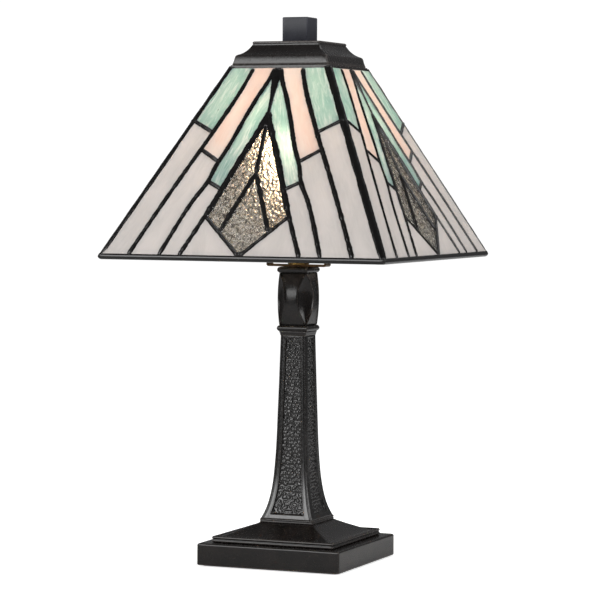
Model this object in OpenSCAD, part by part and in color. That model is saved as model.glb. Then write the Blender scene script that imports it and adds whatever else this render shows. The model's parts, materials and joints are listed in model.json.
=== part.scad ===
// Table lamp with a square pyramid shade of leaded art glass on a tapered square column.
// The origin is the middle of the felt's underside. +Z is up and the front faces -Y.

/* [Base] */
// Width of the square base plate
base_w = 156; // [140:1:170]
// Height of the base plate's top above the table
base_top = 23.5; // [18:0.5:26]
// Width of the stepped tier on the base
tier_w = 133; // [120:1:136]
// Height of the stepped tier
tier_h = 6.5; // [5:0.5:8]
// Height of the pyramid that rises from the tier
pyramid_h = 12; // [9:0.5:18]

/* [Column] */
// Width over the foot ring
foot_w = 59; // [58:1:64]
// Height of the foot ring
foot_h = 4; // [3:0.5:7]
// Height of the tapered column
column_h = 188; // [160:0.5:190]
// Width at the top of the column
column_top_w = 27.5; // [25:0.5:28]
// Depth of the sunk panels
panel_depth = 1; // [0.5:0.5:1.5]

/* [Neck] */
// Width over the neck's two collars
collar_w = 34; // [32:1:36]
// Height of a collar's bead
bead_h = 6.5; // [5:0.5:8]
// Height of the small cyma under the lower bead
cyma_h = 4; // [3:0.5:5]
// Height of the baluster block
neck_h = 53.5; // [45:0.5:60]
// Width at the middle of the baluster block
neck_mid_w = 40; // [36:0.5:42]

/* [Shade] */
// Width of the shade at the middle of the rim band
shade_w = 305; // [290:1:320]
// Width of the shade at the collar band
shade_top_w = 108; // [100:1:112]
// Height of the slope, from the middle of the rim band to the collar band
slope_h = 191; // [185:1:200]
// Thickness of the glass
glass_t = 3; // [2:0.5:3.5]
// Width of a solder line
line_w = 4.5; // [3:0.5:5]
// How far a solder line stands above the glass
line_proud = 1.2; // [0.8:0.2:1.6]
// Diameter of the thick lines at the four corners
hip_d = 6; // [5:0.5:6]
// Height of the rim band
rim_h = 6.4; // [5:0.2:8]

/* [Cap] */
// Height of the cap
cap_h = 24.5; // [22:0.5:26]
// Width of the cap's flat top
cap_top_w = 73; // [66:1:78]
// Width of the square finial
finial_w = 27.5; // [22:0.5:32]
// Height of the finial
finial_h = 25.5; // [22:0.5:32]

/* [Fixture] */
// Outer diameter of the threaded pipe
pipe_d = 10; // [9.5:0.1:10.5]
// Distance between the two arms of the harp at the saddle
harp_gap = 64; // [56:1:66]
// Distance between the two arms of the harp at its widest
harp_w = 92; // [86:1:94]
// Diameter of the harp's wire
wire_d = 4.5; // [4:0.5:5]
// Diameter of the bulb
bulb_d = 60; // [50:1:60]

/* [Hidden] */
SIDES = ["front", "right", "back", "left"];

$fn = 64;
gap = 0.1;                              // running clearance at a shaft's side
felt_t = 2;
base_bottom = 1;                        // the felt sits in a shallow recess and stands proud
base_wall = 6;
tier_top = base_top + tier_h;
foot_z = tier_top + pyramid_h;
column_z = foot_z + foot_h;
lower_collar_z = column_z + column_h;
neck_z = lower_collar_z + cyma_h + bead_h;
upper_collar_z = neck_z + neck_h;
saddle_z = upper_collar_z + bead_h;
saddle_t = 2.2;
saddle_w = 14;
locknut_z = saddle_z + saddle_t;
locknut_h = 5.3;
socket_z = locknut_z + locknut_h;
socket_d = 38;
shell_z = socket_z + 15;
shell_h = 42;
switch_z = shell_z + 8;
lamp_seat_z = shell_z + 14;             // where the bulb's tip meets the contact
ear_top_z = saddle_z + 7;
leg_z = ear_top_z + 3;
sleeve_h = 15;
rim_mid_z = saddle_z + 12;
slope_a = (shade_w - shade_top_w) / 2;
slope_l = sqrt(slope_h * slope_h + slope_a * slope_a);
slope_angle = atan2(slope_h, slope_a);
collar_top_z = rim_mid_z + slope_h + 2;
collar_h = 4.6;
cap_z = collar_top_z;
cap_top_z = cap_z + cap_h;
cap_t = 1.5;
flange_h = 2.5;
harp_top_z = cap_top_z - cap_t - flange_h;
plate_t = 3.5;
stud_d = 6.4;

// Solder line centres on one half of a side: [height along the slope, distance from the middle]
line_outer = [[0, 120.5], [54, 96.5], [99, 75.5], [127, 62], [152, 50.5], [185, 36], [216, 25.5]];
line_inner = [[0, 87], [62, 62], [83, 50.5], [103, 44.5], [121, 36.5], [153, 25.5], [181, 15],
              [198, 7.5], [216, 2]];
line_kite = [[0, 65], [46, 45], [75, 33.5], [109, 20.5], [147, 5], [163, 0], [216, 0]];
outer_cross = [139, 153.5];             // heights of its inner and outer ends
middle_cross = [106, 120];
inner_cross = [75, 84];
kite_corner = [45, 46];
kite_tip = [0, 3];
kite_joint = [0, 94];
kite_branch = [26, 29];
green_top = 204;
glass_v0 = 5.4;                         // the glass starts above the rim band
glass_v1 = slope_l - 4.5;               // and ends below the collar band
hip_in = 1.2;                           // the corner lines lie a little inside the corners
hip_inset = 4.8;
web = 1;                                // core of a solder line, between two pieces of glass
inset = web / 2 + 0.2;

function hip_u(v) = shade_w / 2 - v * slope_a / slope_l;
function heights(t, v0, v1) = concat([v0], [for (r = t) if (r[0] > v0 && r[0] < v1) r[0]], [v1]);
function along(t, v0, v1, du) = [for (v = heights(t, v0, v1)) [lookup(v, t) + du, v]];
function reversed(p) = [for (i = [len(p) - 1:-1:0]) p[i]];
function mirrored(p) = [for (i = [len(p) - 1:-1:0]) [-p[i][0], p[i][1]]];
function arc(cx, cy, r, a0, a1, n) = [for (i = [0:n]) let (a = a0 + (a1 - a0) * i / n)
    [cx + r * cos(a), cy + r * sin(a)]];
function bead(half, z, h) = arc(half - h / 2, z + h / 2, h / 2, -90, 90, 8);

// Square in plan, with the outline [[half width, height], ...] from the bottom to the top
module square_turned(outline) {
    full = concat(outline, mirrored(outline));
    intersection() {
        rotate([90, 0, 0]) linear_extrude(400, center = true) polygon(full);
        rotate([90, 0, 90]) linear_extrude(400, center = true) polygon(full);
    }
}

module square_ring(outer, inner, h) {
    difference() {
        translate([-outer / 2, -outer / 2, 0]) cube([outer, outer, h]);
        translate([-inner / 2, -inner / 2, -1]) cube([inner, inner, h + 2]);
    }
}

module pipe_bore(z, h) {
    translate([0, 0, z - 1]) cylinder(d = pipe_d + 2 * gap, h = h + 2);
}

module ring(outer, inner, z, h) {
    translate([0, 0, z]) difference() {
        cylinder(d = outer, h = h);
        translate([0, 0, -1]) cylinder(d = inner, h = h + 2);
    }
}

// ---- Base ----
felt_w = base_w - 8;

module felt_pad() {
    color("#2f3b2c") translate([-felt_w / 2, -felt_w / 2, 0]) cube([felt_w, felt_w, felt_t]);
}

base_edge_r = 1.6;
cord_z = 10;
grommet_d = 9;

module base_plate() {
    half = base_w / 2;
    color("#241d17") difference() {
        square_turned(concat([[half - 1, base_bottom], [half, base_bottom + 1]],
            arc(half - base_edge_r, base_top - base_edge_r, base_edge_r, 0, 90, 4)));
        translate([-felt_w / 2 - 0.3, -felt_w / 2 - 0.3, 0])
            cube([felt_w + 0.6, felt_w + 0.6, felt_t]);
        translate([base_wall - half, base_wall - half, felt_t - 1])
            cube([base_w - 2 * base_wall, base_w - 2 * base_wall, base_top - base_wall - felt_t + 1]);
        translate([0, half - base_wall - 1, cord_z]) rotate([-90, 0, 0])
            cylinder(d = grommet_d, h = base_wall + 2);
        pipe_bore(base_top - base_wall, base_wall);
    }
}

module cord_grommet() {
    y = base_w / 2;
    color("#151515") translate([0, 0, cord_z]) rotate([-90, 0, 0]) difference() {
        union() {
            translate([0, 0, y - base_wall]) cylinder(d = grommet_d - 0.1, h = base_wall);
            translate([0, 0, y]) cylinder(d = grommet_d + 3, h = 1.6);
        }
        translate([0, 0, y - base_wall - 1]) cylinder(d = 6, h = base_wall + 4);
    }
}

module base_washer() {
    color("silver") ring(30, pipe_d + 2 * gap, base_top - base_wall - 2, 2);
}

module base_nut() {
    z = base_top - base_wall - 2 - 6;
    color("silver") difference() {
        translate([0, 0, z]) cylinder(d = 18, h = 6, $fn = 6);
        pipe_bore(z, 6);
    }
}

module threaded_pipe() {
    z = 5;
    color("goldenrod") ring(pipe_d, 6.5, z, socket_z + 8 - z);
}

casting_wall = 4;
tier_edge = 7.5;                        // flat border between the tier's edge and the pyramid

module stepped_plinth() {
    half = tier_w / 2;
    bead_r = tier_h / 4;
    edge = concat(arc(half - bead_r, base_top + bead_r, bead_r, -90, 60, 5),
                  arc(half - bead_r, tier_top - bead_r, bead_r, -60, 90, 5));
    color("#241d17") difference() {
        square_turned(concat(edge, [[half - tier_edge, tier_top + 0.5], [foot_w / 2, foot_z]]));
        square_turned([[half - tier_edge, base_top - 1], [half - tier_edge, tier_top - casting_wall],
                       [foot_w / 2 - casting_wall, foot_z - casting_wall]]);
        pipe_bore(base_top, foot_z - base_top);
    }
}

// ---- Column ----
flare_w = 20.5;                         // how much the foot's flare adds to the width
flare_fade = 22;                        // height over which the flare fades by two thirds
taper = 0.05;                           // width lost per millimetre of height
panel_foot_z = column_z + 5;
panel_head_z = lower_collar_z - 2.5;
column_steps = 24;
column_floor = 8;                       // solid ends of the hollow column

function column_half(z) = (column_top_w + taper * (lower_collar_z - z)
    + flare_w * exp(-(z - column_z) / flare_fade)) / 2;
function panel_half(z) = column_half(z) - 6 - 2.4 * exp(-(z - column_z) / 30);
function column_heights(z0, z1) = [for (i = [0:column_steps])
    z0 + (z1 - z0) * pow(i / column_steps, 1.5)];

module foot_ring() {
    half = foot_w / 2;
    color("#241d17") difference() {
        square_turned(concat(bead(half, foot_z, foot_h / 2),
                             bead(half, foot_z + foot_h / 2, foot_h / 2)));
        pipe_bore(foot_z, foot_h);
    }
}

module column_body(depth) {
    square_turned([for (z = column_heights(column_z, lower_collar_z))
        [column_half(z) - depth, z]]);
}

module column() {
    side = [for (z = column_heights(panel_foot_z, panel_head_z)) [panel_half(z), z]];
    color("#2a221b") difference() {
        column_body(0);
        difference() {
            for (a = [0, 90]) rotate([90, 0, a])
                linear_extrude(100, center = true) polygon(concat(side, mirrored(side)));
            column_body(panel_depth);
        }
        intersection() {
            column_body(casting_wall);
            translate([0, 0, column_z + column_h / 2])
                cube([foot_w, foot_w, column_h - 2 * column_floor], center = true);
        }
        pipe_bore(column_z, column_h);
    }
}

module lower_neck_collar() {
    z = lower_collar_z;
    half = collar_w / 2;
    color("#241d17") difference() {
        square_turned(concat([[column_top_w / 2, z], [half - 2, z + cyma_h]],
                             bead(half, z + cyma_h, bead_h)));
        pipe_bore(z, cyma_h + bead_h);
    }
}

neck_end_w = 29.5;
neck_cavity_d = 24;

module neck_baluster() {
    sag = (neck_mid_w - neck_end_w) / 2;
    r = (neck_h * neck_h / 4 + sag * sag) / (2 * sag);
    a = asin(neck_h / 2 / r);
    facet = neck_end_w * sqrt(2);       // the corner facets come to a point at both ends
    color("#241d17") difference() {
        intersection() {
            square_turned(arc(neck_mid_w / 2 - r, neck_z + neck_h / 2, r, -a, a, 16));
            translate([0, 0, neck_z + neck_h / 2]) rotate([0, 0, 45])
                cube([facet, facet, neck_h + 2], center = true);
        }
        translate([0, 0, neck_z + casting_wall])
            cylinder(d = neck_cavity_d, h = neck_h - 2 * casting_wall);
        pipe_bore(neck_z, neck_h);
    }
}

module upper_neck_collar() {
    color("#241d17") difference() {
        square_turned(bead(collar_w / 2, upper_collar_z, bead_h));
        pipe_bore(upper_collar_z, bead_h);
    }
}

// ---- Fixture ----
peg_d = 3;
peg_h = 8;

module harp_saddle() {
    x = harp_gap / 2;
    ear_h = ear_top_z - saddle_z;
    color("#5d4527") difference() {
        union() {
            translate([-x - saddle_t / 2, -saddle_w / 2, saddle_z])
                cube([harp_gap + saddle_t, saddle_w, saddle_t]);
            for (s = [-1, 1]) translate([s * x - saddle_t / 2, -saddle_w / 2, saddle_z])
                cube([saddle_t, saddle_w, ear_h]);
        }
        pipe_bore(saddle_z, saddle_t);
    }
}

// A post brazed on top of each ear, with a peg that the harp's leg slips over
module saddle_posts() {
    color("#5d4527") for (s = [-1, 1]) translate([s * harp_gap / 2, 0, 0]) {
        translate([0, 0, ear_top_z]) cylinder(d = wire_d, h = leg_z - ear_top_z);
        translate([0, 0, leg_z - 1]) cylinder(d = peg_d, h = peg_h + 1);
    }
}

module pipe_locknut() {
    color("goldenrod") ring(22, pipe_d + 2 * gap, locknut_z, locknut_h);
}

shell_t = 0.8;

module socket_cap() {
    z = socket_z;
    r = socket_d / 2 - 0.9;
    color("goldenrod") rotate_extrude() polygon([[pipe_d / 2 + gap, z], [9, z], [9, z + 3],
        [r - 6, z + 4.5], [r, z + 9], [r, shell_z + 6], [r - shell_t, shell_z + 6],
        [r - shell_t, z + 9.4], [r - 6.3, z + 5.3], [8, z + 4], [8, z + 9], [pipe_d / 2 + gap, z + 9]]);
}

shell_r = socket_d / 2;
liner_r = socket_d / 2 - 1.9;

module socket_shell() {
    color("goldenrod") difference() {
        union() {
            ring(2 * shell_r, 2 * (shell_r - shell_t), shell_z, shell_h);
            ring(2 * shell_r + 2, 2 * (shell_r - shell_t), shell_z + shell_h - 2, 2);
        }
        switch_hole(8);
    }
}

// The slot in the socket's front for the switch
module switch_hole(d) {
    translate([0, 0, switch_z]) rotate([90, 0, 0]) cylinder(d = d, h = 30);
}

module socket_liner() {
    color("#c9b48a") difference() {
        ring(2 * liner_r, 2 * (liner_r - 0.6), shell_z + 1, shell_h - 2);
        switch_hole(8);
    }
}

core_d = 33;
core_h = 12;
seat_d = 28.2;

module socket_core() {
    color("#1c1c1e") difference() {
        union() {
            ring(core_d - 0.2, 26, socket_z + 9, shell_z + 2 - socket_z - 9);
            translate([0, 0, shell_z + 1]) cylinder(d = core_d, h = core_h - 1);
            ring(core_d, seat_d + 0.8, shell_z + core_h, 10);
        }
        translate([0, 0, shell_z]) cylinder(d = 8, h = 3);
        switch_hole(shaft_d + 2 * gap);
    }
}

module screw_shell() {
    color("goldenrod") ring(seat_d + 0.7, seat_d, shell_z + core_h, 22);
}

module centre_contact() {
    color("#b87333") translate([0, 0, shell_z + core_h])
        cylinder(d = 6, h = lamp_seat_z - shell_z - core_h);
}

knob_y = 24;                            // the knob's near face, in front of the socket
knob_bore = 8;
shaft_d = 4;

module switch_shaft() {
    start = 4;
    color("goldenrod") translate([0, -start, switch_z]) rotate([90, 0, 0])
        cylinder(d = shaft_d, h = knob_y + knob_bore - start);
}

module switch_knob() {
    color("#1c1c1e") translate([0, -knob_y, switch_z]) rotate([90, 0, 0]) difference() {
        union() {
            cylinder(d = 11, h = 12);
            for (a = [0:30:150]) rotate([0, 0, a]) translate([-6.1, -0.8, 0]) cube([12.2, 1.6, 10]);
        }
        translate([0, 0, -1]) cylinder(d = shaft_d + 0.1, h = knob_bore + 1);
    }
}

// ---- Bulb ----
cap_len = 26;
bulb_r = bulb_d / 2;
neck_r = 13.4;
bulb_neck_z = lamp_seat_z + cap_len;
bulb_mid_z = bulb_neck_z + 50;

// Half outline of the bulb's glass: a bulb's neck that swells into a ball
function bulb_outline(t) = concat(
    [for (i = [0:10]) let (f = i / 10)
        [neck_r - t + (bulb_r - neck_r) * (1 - cos(180 * f)) / 2, bulb_neck_z + 50 * f]],
    [for (i = [1:8]) let (a = i * 90 / 8) [(bulb_r - t) * cos(a), bulb_mid_z + (bulb_r - t) * sin(a)]]);

module bulb_glass() {
    color("#f6f1e4") rotate_extrude()
        polygon(concat(bulb_outline(0), reversed(bulb_outline(1))));
}

module bulb_screw_cap() {
    z = lamp_seat_z + 3;
    color("silver") rotate_extrude() polygon([[6, z], [11, z + 2], [13.4, z + 5],
        [13.4, z + 23], [12.6, z + 23], [12.6, z + 5.4], [10.6, z + 2.8], [6, z + 0.8]]);
}

module bulb_tip() {
    color("#2b2b2b") translate([0, 0, lamp_seat_z]) cylinder(r1 = 3, r2 = 6, h = 3);
}

// Glass stem, two support wires and the filament across them
module bulb_mount() {
    color("#d8d8d8") {
        translate([0, 0, bulb_neck_z - 12]) cylinder(d = 8, h = 34);
        for (s = [-1, 1]) translate([0, s * 2.5, bulb_neck_z + 21]) rotate([s * -20, 0, 0])
            cylinder(d = 0.8, h = 26);
        translate([0, -13, bulb_neck_z + 45]) rotate([-90, 0, 0]) cylinder(d = 1.2, h = 26);
    }
}

// ---- Harp ----
flare_a = 20;
flare_r = 40;
flare_z = leg_z + 34;
shoulder_r = 32;
plate_half = harp_w / 2 - shoulder_r;

// One edge of the right half of the harp, o outside the wire's middle: [x, z] points
function harp_edge(o) = let (
        x0 = harp_gap / 2,
        run = harp_w / 2 - x0 - 2 * flare_r * (1 - cos(flare_a)),
        z3 = flare_z + 2 * flare_r * sin(flare_a) + run / tan(flare_a))
    concat(arc(x0 + flare_r, flare_z, flare_r - o, 180, 180 - flare_a, 5),
           arc(harp_w / 2 - flare_r, z3, flare_r + o, -flare_a, 0, 5),
           arc(plate_half, harp_top_z - wire_d / 2 - shoulder_r, shoulder_r + o, 0, 90, 12));

module harp_side() {
    half = wire_d / 2;
    difference() {
        translate([harp_gap / 2, 0, leg_z]) cylinder(d = wire_d, h = flare_z - leg_z);
        translate([harp_gap / 2, 0, leg_z - 1]) cylinder(d = peg_d + 2 * gap, h = peg_h + 2);
    }
    rotate([90, 0, 0]) linear_extrude(wire_d, center = true)
        polygon(concat(harp_edge(half), reversed(harp_edge(-half))));
}

module harp_loop() {
    color("#6b5030") difference() {
        union() {
            harp_side();
            mirror([1, 0, 0]) harp_side();
            translate([-plate_half - 1, -7, harp_top_z - plate_t])
                cube([2 * plate_half + 2, 14, plate_t]);
        }
        translate([0, 0, harp_top_z - plate_t - 3]) cylinder(d = stud_d + 2 * gap, h = 12);
    }
}

module harp_sleeve(side) {
    color("#6b5030") translate([side * harp_gap / 2, 0, ear_top_z + 0.3]) rotate_extrude()
        polygon([[wire_d / 2 + gap, 0], [5.6, 0], [5.6, 4], [4.2, 9], [4.2, sleeve_h],
                 [wire_d / 2 + gap, sleeve_h]]);
}

module harp_stud() {
    below = 2;
    color("goldenrod") {
        translate([0, 0, harp_top_z - plate_t - below]) cylinder(d = 10, h = below - 0.1);
        translate([0, 0, harp_top_z - plate_t - 1]) cylinder(d = stud_d, h = plate_t + 19);
        translate([0, 0, harp_top_z + 0.1]) cylinder(d = 14, h = flange_h - 0.1);
    }
}

// ---- Shade ----
// Puts a flat drawing of one side on the slope: x across, y up the slope, z outwards
module on_side(i) {
    rotate([0, 0, 90 * i]) translate([0, -shade_w / 2, rim_mid_z]) rotate([slope_angle, 0, 0])
        children();
}

module side_outline() {
    a = hip_u(glass_v0) - hip_inset;
    b = hip_u(glass_v1) - hip_inset;
    polygon([[-a, glass_v0], [a, glass_v0], [b, glass_v1], [-b, glass_v1]]);
}

module both_halves() {
    children();
    mirror([1, 0]) children();
}

// A line of width w along a table of points
module curved_line(t, w) {
    k = w / 2 * 1.1;                    // the lines lean, so they are drawn a little wider across
    polygon(concat(along(t, 0, slope_l, -k), reversed(along(t, 0, slope_l, k))));
}

module straight_line(a, b, w) {
    d = b - a;
    n = [-d[1], d[0]] / norm(d) * w / 2;
    polygon([a - n, b - n, b + n, a + n]);
}

module line_drawing(w) {
    intersection() {
        side_outline();
        union() {
            both_halves() {
                curved_line(line_outer, w);
                curved_line(line_inner, w);
                curved_line(line_kite, w);
                straight_line([lookup(outer_cross[0], line_outer), outer_cross[0]],
                              [hip_u(outer_cross[1]), outer_cross[1]], w);
                straight_line([lookup(middle_cross[0], line_inner), middle_cross[0]],
                              [lookup(middle_cross[1], line_outer), middle_cross[1]], w);
                straight_line([lookup(inner_cross[0], line_kite), inner_cross[0]],
                              [lookup(inner_cross[1], line_inner), inner_cross[1]], w);
                straight_line(kite_tip, kite_corner, w);
                straight_line(kite_joint, kite_branch, w);
            }
            straight_line(kite_joint, [0, 163], w);
        }
    }
}

module solder_lines(i) {
    color("#2b2a29") on_side(i) {
        for (s = [-1, 1]) translate([0, 0, s * (glass_t / 2 + line_proud / 2)])
            linear_extrude(line_proud, center = true) line_drawing(line_w);
        linear_extrude(glass_t + 0.02, center = true) line_drawing(web);
    }
}

// A piece of glass between two lines, with its own foot and head height on each of them
module between(ta, a, tb, b) {
    polygon(concat(along(ta, a[0], a[1], inset), reversed(along(tb, b[0], b[1], -inset))));
}

module glass_sheet(i) {
    on_side(i) linear_extrude(glass_t, center = true) intersection() {
        side_outline();
        both_halves() children();
    }
}

hip_line = [[0, hip_u(0)], [slope_l, hip_u(slope_l)]];

module green_glass(i) {
    color("#b3cfc0") glass_sheet(i) {
        between(line_outer, [outer_cross[0] + inset, slope_l],
                hip_line, [outer_cross[1] + inset, slope_l]);
        between(line_kite, [inner_cross[0] + inset, green_top],
                line_inner, [inner_cross[1] + inset, green_top]);
    }
}

module peach_glass(i) {
    color("#eed7c3") glass_sheet(i)
        between(line_inner, [middle_cross[0] + inset, slope_l],
                line_outer, [middle_cross[1] + inset, slope_l]);
}

module white_glass(i) {
    color("#d8d2c6") glass_sheet(i) {
        between(line_outer, [0, outer_cross[0] - inset], hip_line, [0, outer_cross[1] - inset]);
        between(line_inner, [0, middle_cross[0] - inset], line_outer, [0, middle_cross[1] - inset]);
        between(line_kite, [0, inner_cross[0] - inset], line_inner, [0, inner_cross[1] - inset]);
        polygon(concat([kite_tip + [2, 0]], along(line_kite, 0, kite_corner[1] - 2, -inset)));
    }
}

module clear_glass(i) {
    color("#b9b2a4") glass_sheet(i) {
        polygon([kite_tip + [0, 1], kite_branch - [1, 0], kite_joint - [0, 2]]);
        polygon(concat([kite_joint + [inset, 1.5], kite_branch + [0.9, 1.4]],
            along(line_kite, kite_corner[1] + 0.2, 158, -inset), [[inset, 158]]));
    }
}

module corner_lines() {
    z0 = rim_mid_z + rim_h / 2;
    z1 = collar_top_z - collar_h;
    reach = sqrt(slope_h * slope_h + 2 * slope_a * slope_a);
    lean = atan2(slope_a * sqrt(2), slope_h);
    color("#2b2a29") intersection() {
        translate([0, 0, (z0 + z1) / 2]) cube([400, 400, z1 - z0], center = true);
        for (i = [0:3]) rotate([0, 0, 45 + 90 * i])
            translate([shade_w / sqrt(2) - hip_in * sqrt(2), 0, rim_mid_z]) rotate([0, -lean, 0])
                translate([0, 0, -10]) cylinder(d = hip_d, h = reach + 20);
    }
}

module rim_band() {
    color("#2b2a29") translate([0, 0, rim_mid_z - rim_h / 2])
        square_ring(shade_w + 3, shade_w - 7, rim_h);
}

module collar_band() {
    color("#3a302a") translate([0, 0, collar_top_z - collar_h])
        square_ring(shade_top_w, shade_top_w - 12, collar_h);
}

// ---- Cap ----
band_h = 9;
cap_foot_w = 105;

// Outline of the cap's flared band and of the cove above it, t inside the outer surface
function cap_outline(t) = [[cap_foot_w / 2 - t, cap_z], [50.3 - t, cap_z + band_h],
    [48 - t, cap_z + band_h + 2.2 - t / 2], [43.5 - t, cap_z + band_h + 6 - t],
    [39.5 - t, cap_z + band_h + 10 - t], [cap_top_w / 2 - t, cap_top_z - 2 - t]];

module vented_cap() {
    color("#332a24") difference() {
        square_turned(concat(cap_outline(0), [[cap_top_w / 2, cap_top_z - 1.2],
            [cap_top_w / 2 - 1.2, cap_top_z]]));
        square_turned(concat([[cap_foot_w / 2 - cap_t, cap_z - 1]], cap_outline(cap_t),
                             [[cap_top_w / 2 - cap_t, cap_top_z - cap_t]]));
        translate([0, 0, cap_top_z - 5]) cylinder(d = stud_d + 0.6, h = 8);
    }
}

insert_h = 18;

module finial_block() {
    half = finial_w / 2;
    color("#33343c") difference() {
        square_turned([[half, cap_top_z], [half, cap_top_z + finial_h - 0.8],
                       [half - 0.8, cap_top_z + finial_h]]);
        translate([0, 0, cap_top_z - 1]) cylinder(d = 10, h = insert_h + 1);
    }
}

module finial_insert() {
    color("goldenrod") ring(10, stud_d + 2 * gap, cap_top_z, insert_h);
}

felt_pad();
base_plate();
stepped_plinth();
foot_ring();
column();
lower_neck_collar();
neck_baluster();
upper_neck_collar();
threaded_pipe();
base_washer();
base_nut();
cord_grommet();
harp_saddle();
saddle_posts();
pipe_locknut();
socket_cap();
socket_shell();
socket_liner();
socket_core();
screw_shell();
centre_contact();
switch_shaft();
switch_knob();
bulb_glass();
bulb_screw_cap();
bulb_tip();
bulb_mount();
harp_loop();
harp_sleeve(-1);  // harp_sleeve_left
harp_sleeve(1);  // harp_sleeve_right
harp_stud();
corner_lines();
rim_band();
collar_band();
vented_cap();
finial_block();
finial_insert();
for (i = [0:3]) solder_lines(i);
for (i = [0:3]) green_glass(i);
for (i = [0:3]) peach_glass(i);
for (i = [0:3]) white_glass(i);
for (i = [0:3]) clear_glass(i);
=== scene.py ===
"""Leaded glass table lamp: the looks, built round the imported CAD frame."""
import json
from math import asin, atan2, ceil, cos, exp, floor, hypot, pi, radians, sin, sqrt, tan

import bpy
from mathutils import Matrix, Vector, noise


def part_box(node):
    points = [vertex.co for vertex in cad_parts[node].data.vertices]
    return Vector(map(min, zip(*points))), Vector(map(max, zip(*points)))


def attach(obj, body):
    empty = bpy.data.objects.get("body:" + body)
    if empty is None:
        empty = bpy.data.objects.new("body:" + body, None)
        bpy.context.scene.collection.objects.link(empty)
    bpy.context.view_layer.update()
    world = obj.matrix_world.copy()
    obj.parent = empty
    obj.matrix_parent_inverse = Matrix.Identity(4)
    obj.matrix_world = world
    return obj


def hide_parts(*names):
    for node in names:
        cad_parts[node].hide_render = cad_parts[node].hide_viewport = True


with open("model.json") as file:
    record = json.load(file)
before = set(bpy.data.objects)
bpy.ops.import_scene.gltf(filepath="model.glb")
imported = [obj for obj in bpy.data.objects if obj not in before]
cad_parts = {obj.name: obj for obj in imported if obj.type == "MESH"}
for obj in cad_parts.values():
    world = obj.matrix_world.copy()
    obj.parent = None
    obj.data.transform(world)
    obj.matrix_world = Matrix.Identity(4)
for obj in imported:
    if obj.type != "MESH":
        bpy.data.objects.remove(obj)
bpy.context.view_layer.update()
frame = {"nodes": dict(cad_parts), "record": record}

noise.seed_set(1)  # noise_vector is seeded from the clock unless a seed is set

MM = 0.001
SIDES = ("front", "right", "back", "left")
QUARTERS = [Matrix.Rotation(k * pi / 2, 3, "Z") for k in range(4)]


def extent(node):
    """Half width, foot and top of a CAD node that stands on the lamp's axis."""
    low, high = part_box(node)
    return high[0], low[2], high[2]


# ---- camera
VIEW_YAW = radians(22.66)
VIEW_PITCH = radians(-2.69)
VIEW_ROLL = radians(0.34)
VIEW_DISTANCE = 2.814
VIEW_HEIGHT = 0.4021
VIEW_LENS = 164.2
VIEW_SHIFT = 0.0028


def make_camera():
    """The camera at the photograph's angle, far off with a long lens."""
    data = bpy.data.cameras.new("camera")
    camera = bpy.data.objects.new("camera", data)
    bpy.context.scene.collection.objects.link(camera)
    forward = Vector((-sin(VIEW_YAW) * cos(VIEW_PITCH), cos(VIEW_YAW) * cos(VIEW_PITCH),
                      sin(VIEW_PITCH)))
    level = Vector((cos(VIEW_YAW), sin(VIEW_YAW), 0))
    upright = level.cross(forward)
    right = level * cos(VIEW_ROLL) + upright * sin(VIEW_ROLL)
    up = upright * cos(VIEW_ROLL) - level * sin(VIEW_ROLL)
    place = Matrix((right, up, -forward)).transposed().to_4x4()
    place.translation = (VIEW_DISTANCE * sin(VIEW_YAW), -VIEW_DISTANCE * cos(VIEW_YAW), VIEW_HEIGHT)
    camera.matrix_world = place
    data.lens = VIEW_LENS
    data.shift_x = VIEW_SHIFT
    data.clip_end = 50
    bpy.context.scene.camera = camera


make_camera()


# ---- mesh helpers
class Build:
    """Collects the vertices and faces of several closed shapes, wound outwards, for one piece."""

    def __init__(self):
        self.verts, self.faces, self.grain = [], [], []

    def loft(self, rings, loop=False):
        """Quads between rings of as many points each, closed by end caps or back to the first ring."""
        base, n = len(self.verts), len(rings[0])
        for ring in rings:
            self.verts.extend(ring)
        for j in range(len(rings) if loop else len(rings) - 1):
            a, b = base + j * n, base + (j + 1) % len(rings) * n
            for i in range(n):
                k = (i + 1) % n
                self.faces.append((a + i, a + k, b + k, b + i))
        if not loop:
            self.faces.append(tuple(base + i for i in reversed(range(n))))
            self.faces.append(tuple(base + (len(rings) - 1) * n + i for i in range(n)))

    def lathe(self, outline, steps, place=None, closed=False):
        """Turns [radius, height] points about Z. A closed outline makes a ring."""
        turns = [2 * pi * i / steps for i in range(steps)]
        rings = [[Vector((r * cos(a), r * sin(a), z)) for a in turns] for r, z in outline]
        self.loft([[place @ p for p in ring] for ring in rings] if place else rings, loop=closed)

    def tube(self, path, across, deep, turns=12, side=Vector((0, 1, 0))):
        """An elliptical tube along a path. across and deep give the half widths at each point."""
        rings = []
        for i, p in enumerate(path):
            ahead = (path[min(i + 1, len(path) - 1)] - path[max(i - 1, 0)]).normalized()
            out = (side - ahead * side.dot(ahead)).normalized()
            lateral = out.cross(ahead)
            rings.append([p + lateral * across[i] * cos(a) + out * deep[i] * sin(a)
                          for a in (2 * pi * k / turns for k in range(turns))])
        self.loft(rings)

    def piece(self, name, body, slot, node, material=None, smooth=True):
        """The finished piece, which rides on a body and stands for a CAD node."""
        mesh = bpy.data.meshes.new(name)
        mesh.from_pydata([tuple(v) for v in self.verts], [], self.faces)
        mesh.validate()
        if self.grain:
            layer = mesh.attributes.new("grain", "FLOAT_VECTOR", "POINT")
            layer.data.foreach_set("vector", [c for g in self.grain for c in g])
        mesh.polygons.foreach_set("use_smooth", [smooth] * len(mesh.polygons))
        mesh.materials.append(material or LOOKS[slot])
        piece = bpy.data.objects.new(name, mesh)
        bpy.context.scene.collection.objects.link(piece)
        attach(piece, body)
        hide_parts(node)
        return piece


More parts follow.
